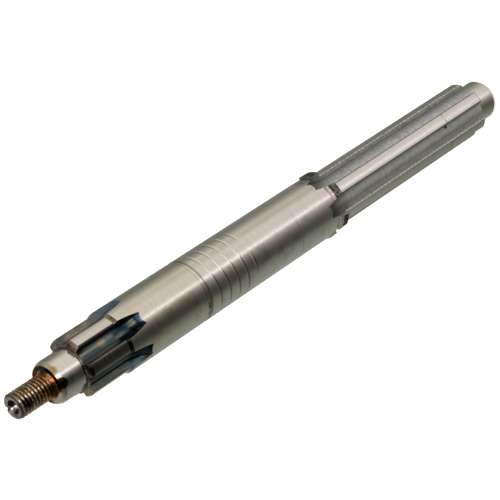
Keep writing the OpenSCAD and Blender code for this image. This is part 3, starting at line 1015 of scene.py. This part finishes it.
# Light tent: soft white cloth on one side with a brighter strip at its edge, a dark gap beside the
# strip and plain grey cloth on the other side. Each tier lists turns from the camera's side, in
# degrees, with the cloth's brightness there; the gap is darkest in the high tier.
TENT_LOW = [
    (-180, (0.30, 0.33, 0.28)), (-140, (0.36, 0.39, 0.33)), (-118, (0.255, 0.285, 0.235)),
    (-100, (0.215, 0.24, 0.195)), (-66, (0.125, 0.13, 0.105)), (-45, (0.17, 0.165, 0.14)),
    (-22, (0.47, 0.45, 0.38)), (-9, (0.86, 0.84, 0.77)), (0, (1.18, 1.13, 1.14)),
    (6, (1.22, 1.18, 1.24)), (13, (0.91, 0.88, 0.88)), (30, (0.86, 0.83, 0.82)),
    (50, (0.82, 0.80, 0.77)), (64, (0.68, 0.66, 0.63)), (82, (0.48, 0.47, 0.42)),
    (102, (0.30, 0.305, 0.255)), (120, (0.225, 0.24, 0.195)), (145, (0.22, 0.245, 0.20)),
    (180, (0.30, 0.33, 0.28)),
]
TENT_MIDDLE = [
    (-180, (0.33, 0.36, 0.32)), (-135, (0.39, 0.42, 0.38)), (-100, (0.345, 0.37, 0.32)),
    (-76, (0.25, 0.275, 0.23)), (-58, (0.10, 0.108, 0.092)), (-38, (0.105, 0.105, 0.092)),
    (-22, (0.225, 0.205, 0.185)), (-6, (0.50, 0.46, 0.435)), (1, (0.92, 0.86, 0.86)),
    (6, (1.98, 1.94, 2.10)), (11, (1.24, 1.20, 1.27)), (18, (0.99, 0.96, 0.95)),
    (30, (0.96, 0.93, 0.87)), (46, (1.01, 0.98, 0.97)), (54, (0.91, 0.89, 0.83)),
    (61, (0.70, 0.68, 0.59)), (70, (0.66, 0.64, 0.55)), (80, (0.85, 0.82, 0.73)),
    (90, (0.66, 0.64, 0.57)), (101, (0.43, 0.43, 0.39)), (120, (0.25, 0.265, 0.235)),
    (150, (0.28, 0.30, 0.27)), (180, (0.33, 0.36, 0.32)),
]
TENT_HIGH = [
    (-180, (0.34, 0.36, 0.32)), (-120, (0.35, 0.37, 0.33)), (-92, (0.28, 0.30, 0.26)),
    (-70, (0.13, 0.14, 0.12)), (-56, (0.035, 0.037, 0.033)), (-40, (0.008, 0.008, 0.008)),
    (-26, (0.030, 0.028, 0.026)), (-12, (0.24, 0.22, 0.205)), (-2, (0.60, 0.57, 0.55)),
    (3, (1.30, 1.26, 1.30)), (8, (2.05, 2.00, 2.10)), (13, (1.15, 1.12, 1.14)),
    (22, (0.98, 0.95, 0.92)),
    (62, (1.05, 1.02, 0.98)), (78, (0.95, 0.92, 0.86)), (88, (0.70, 0.68, 0.62)),
    (100, (0.44, 0.43, 0.38)),
    (120, (0.22, 0.225, 0.20)), (145, (0.20, 0.21, 0.19)), (180, (0.34, 0.36, 0.32)),
]
TENT_TOP = [
    (-180, (0.66, 0.65, 0.62)), (-162, (1.05, 1.03, 1.00)), (-146, (0.62, 0.61, 0.58)),
    (-120, (0.42, 0.43, 0.40)), (-92, (0.30, 0.32, 0.28)), (-70, (0.15, 0.155, 0.135)),
    (-56, (0.10, 0.10, 0.09)), (-26, (0.10, 0.095, 0.085)), (-12, (0.24, 0.22, 0.205)),
    (-2, (0.60, 0.57, 0.55)), (3, (1.30, 1.26, 1.30)), (8, (2.05, 2.00, 2.10)),
    (13, (1.15, 1.12, 1.14)), (22, (0.98, 0.95, 0.92)), (62, (1.05, 1.02, 0.98)),
    (78, (0.95, 0.92, 0.86)), (92, (0.70, 0.68, 0.63)), (108, (0.48, 0.47, 0.43)),
    (128, (0.40, 0.40, 0.37)), (150, (0.56, 0.55, 0.52)), (180, (0.66, 0.65, 0.62)),
]
TENT_NADIR = [
    (-180, (0.60, 0.62, 0.56)), (-100, (0.42, 0.44, 0.38)), (-72, (0.17, 0.17, 0.145)),
    (-45, (0.070, 0.065, 0.060)), (-20, (0.12, 0.11, 0.10)), (-6, (0.75, 0.72, 0.69)),
    (6, (2.40, 2.34, 2.40)), (30, (1.95, 1.90, 1.86)), (64, (1.65, 1.60, 1.50)),
    (84, (1.05, 1.02, 0.92)), (110, (0.55, 0.56, 0.48)), (145, (0.46, 0.50, 0.42)),
    (180, (0.60, 0.62, 0.56)),
]
# Lift at which each tier after the low one begins, and at which it is full.
TIER_EDGES = [(-0.70, -0.655), (-0.615, -0.525), (-0.47, -0.36), (-0.76, -0.93)]
HORIZON, ABOVE_HORIZON = (-0.20, 0.15), 0.68
tent = bpy.data.worlds.new("light_tent")
tent.use_nodes = True
scene.world = tent
tree = tent.node_tree
away = put("ShaderNodeTexCoord").outputs["Generated"]
ahead = put("ShaderNodeVectorMath", {0: away, 1: outward}, operation="DOT_PRODUCT").outputs["Value"]
aside = put(
    "ShaderNodeVectorMath", {0: away, 1: up.cross(outward)}, operation="DOT_PRODUCT"
).outputs["Value"]
lift = put("ShaderNodeSeparateXYZ", {0: away}).outputs[2]
turn = sums("ARCTAN2", aside, ahead)
share = span(turn, -math.pi, math.pi)
tiers = [
    ramp(share, [((place + 180) / 360, colour) for place, colour in stops])
    for stops in (TENT_LOW, TENT_MIDDLE, TENT_HIGH, TENT_TOP, TENT_NADIR)
]
cloth = tiers[0]
for (begins, full), tier in zip(TIER_EDGES, tiers[1:]):
    cloth = blend(span(lift, begins, full), cloth, tier)
level = span(lift, *HORIZON, 1.0, ABOVE_HORIZON)
cloth = put("ShaderNodeVectorMath", {0: cloth, "Scale": level}, operation="SCALE").outputs[0]
seen = put("ShaderNodeLightPath").outputs["Is Camera Ray"]
colour = blend(seen, cloth, (1, 1, 1, 1))
tree.links.new(colour, tree.nodes["Background"].inputs["Color"])

# Front panel: a small soft light above the camera, which the centre hole and the journal's chamfer
# throw back as white glints.
FRONT_TURN_FROM_CAMERA, FRONT_LIFT, FRONT_DISTANCE = math.radians(4), math.radians(29), 1.1
FRONT_SIZE, FRONT_POWER = 0.42, 0.95
front = bpy.data.lights.new("front_panel", "AREA")
front.shape = "DISK"
front.size = FRONT_SIZE
front.energy = FRONT_POWER
front_panel = bpy.data.objects.new("front_panel", front)
scene.collection.objects.link(front_panel)
toward = Matrix.Rotation(FRONT_TURN_FROM_CAMERA, 3, "Z") @ outward
toward = math.cos(FRONT_LIFT) * toward + math.sin(FRONT_LIFT) * up
front_panel.location = Vector((0, 0, TOP_Z * MM)) + FRONT_DISTANCE * toward
front_panel.rotation_euler = toward.to_track_quat("Z", "Y").to_euler()

# Overhead lamp: a wide soft panel straight above the stud, which lifts the level on rust, scale
# and the table.
OVERHEAD_SIZE, OVERHEAD_POWER, OVERHEAD_HEIGHT = 1.2, 9.0, 1.8
panel = bpy.data.lights.new("overhead_panel", "AREA")
panel.shape = "DISK"
panel.size = OVERHEAD_SIZE
panel.energy = OVERHEAD_POWER
overhead = bpy.data.objects.new("overhead_panel", panel)
scene.collection.objects.link(overhead)
overhead.location = (0, 0, OVERHEAD_HEIGHT)

scene.view_settings.view_transform = "Standard"
